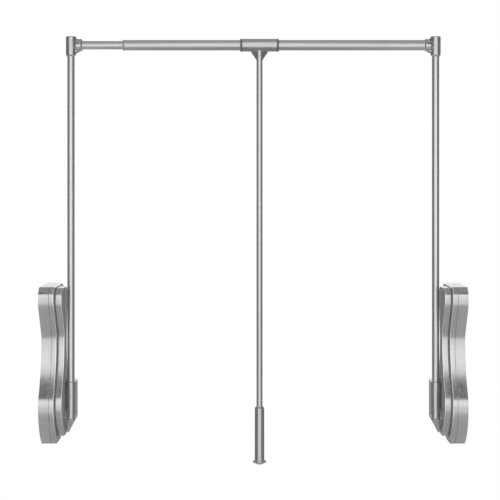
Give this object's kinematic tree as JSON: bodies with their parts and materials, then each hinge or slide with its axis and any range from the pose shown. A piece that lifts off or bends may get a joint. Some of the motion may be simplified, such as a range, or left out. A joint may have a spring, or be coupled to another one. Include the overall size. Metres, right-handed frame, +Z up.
{
  "type": "pull down closet rod",
  "caption": "Pull down closet rod: sprung arms on two bone-shaped wall housings carry a telescoping hanging rod, lowered by a central pull rod with a grip.",
  "frame": {"origin": "centre of the right housing's four wall screw holes, on the right side wall", "axes": "+X out of the closet through the right wall, +Y to the closet's back, +Z up"},
  "size_m": [0.83, 0.114, 0.8454],
  "materials": {
    "housing_metal": "brushed, satin lacquer",
    "cast_metal": "satin nickel on a zinc-like casting",
    "tube_metal": "satin drawn tube",
    "zinc_plate": "zinc plated",
    "screw_steel": "turned steel",
    "gear_steel": "machined steel, oiled",
    "spring_steel": "drawn spring wire",
    "damper_metal": "turned aluminium",
    "bronze": "sintered bronze",
    "dark_nylon": "moulded",
    "rubber": "moulded",
    "grip_plastic": "satin metallic grey"
  },
  "bodies": {
    "right_side": {"right_wall_plate": "zinc_plate", "right_casing_back": "housing_metal", "right_casing_front": "housing_metal", "right_cover": "housing_metal", "right_casing_screws": "screw_steel", "right_plate_bush": "bronze", "right_cover_bush": "dark_nylon", "right_rack_guide": "dark_nylon", "right_stop_pad": "rubber", "right_spring_rod": "screw_steel", "right_lift_spring": "spring_steel", "right_anchor_block": "zinc_plate", "right_damper_body": "damper_metal", "right_damper_gland": "dark_nylon"},
    "lift_frame": {"right_pivot_shaft": "screw_steel", "right_pinion": "gear_steel", "right_pinion_clip": "spring_steel", "right_arm_bracket": "cast_metal", "right_hub_screw": "screw_steel", "right_set_screws": "screw_steel", "right_arm": "tube_metal", "right_corner": "cast_metal", "outer_tube": "tube_metal", "tube_mouth_ring": "dark_nylon"},
    "left_frame": {"left_pivot_shaft": "screw_steel", "left_pinion": "gear_steel", "left_pinion_clip": "spring_steel", "left_arm_bracket": "cast_metal", "left_hub_screw": "screw_steel", "left_set_screws": "screw_steel", "left_arm": "tube_metal", "left_corner": "cast_metal", "inner_tube": "tube_metal", "inner_tube_glide": "dark_nylon"},
    "left_side": {"left_wall_plate": "zinc_plate", "left_casing_back": "housing_metal", "left_casing_front": "housing_metal", "left_cover": "housing_metal", "left_casing_screws": "screw_steel", "left_plate_bush": "bronze", "left_cover_bush": "dark_nylon", "left_rack_guide": "dark_nylon", "left_stop_pad": "rubber", "left_spring_rod": "screw_steel", "left_lift_spring": "spring_steel", "left_anchor_block": "zinc_plate", "left_damper_body": "damper_metal", "left_damper_gland": "dark_nylon"},
    "right_drive": {"right_rack": "gear_steel", "right_damper_rod": "screw_steel"},
    "left_drive": {"left_rack": "gear_steel", "left_damper_rod": "screw_steel"},
    "sleeve_slider": {"sleeve_bushes": "dark_nylon"},
    "pull_handle": {"pull_sleeve": "cast_metal", "rod_pin": "screw_steel", "pull_rod": "tube_metal", "grip": "grip_plastic", "grip_cap": "grip_plastic"}
  },
  "joints": [
    {"name": "lift", "type": "hinge", "parent": "right_side", "child": "lift_frame", "pos_m": [-0.0446, 0, -0.105], "axis": [1, 0, 0], "range_deg": [0, 110], "stiffness_Nm_per_rad": 12, "springref_deg": -28.65},
    {"name": "rod_extend", "type": "slide", "parent": "lift_frame", "child": "left_frame", "axis": [-1, 0, 0], "range_m": [-0.06, 0.3]},
    {"name": "left_pivot", "type": "hinge", "parent": "left_frame", "child": "left_side", "pos_m": [-0.7854, 0, -0.105], "axis": [1, 0, 0], "range_deg": [-110, 0]},
    {"name": "right_rack_slide", "type": "slide", "parent": "right_side", "child": "right_drive", "axis": [0, 0, 1], "range_m": [0, 0.0288], "deforming": ["right_lift_spring"]},
    {"name": "left_rack_slide", "type": "slide", "parent": "left_side", "child": "left_drive", "axis": [0, 0, 1], "range_m": [0, 0.0288], "deforming": ["left_lift_spring"]},
    {"name": "sleeve_slide", "type": "slide", "parent": "lift_frame", "child": "sleeve_slider", "axis": [1, 0, 0], "range_m": [-0.22, 0.28]},
    {"name": "pull_swing", "type": "hinge", "parent": "sleeve_slider", "child": "pull_handle", "pos_m": [-0.4027, 0, 0.629], "axis": [-1, 0, 0], "range_deg": [-30, 110]}
  ],
  "couplings": [
    {"joint": "left_pivot", "follows": "lift", "ratio": -1},
    {"joint": "right_rack_slide", "follows": "lift", "m_per_rad": 0.015},
    {"joint": "left_rack_slide", "follows": "lift", "m_per_rad": 0.015}
  ]
}
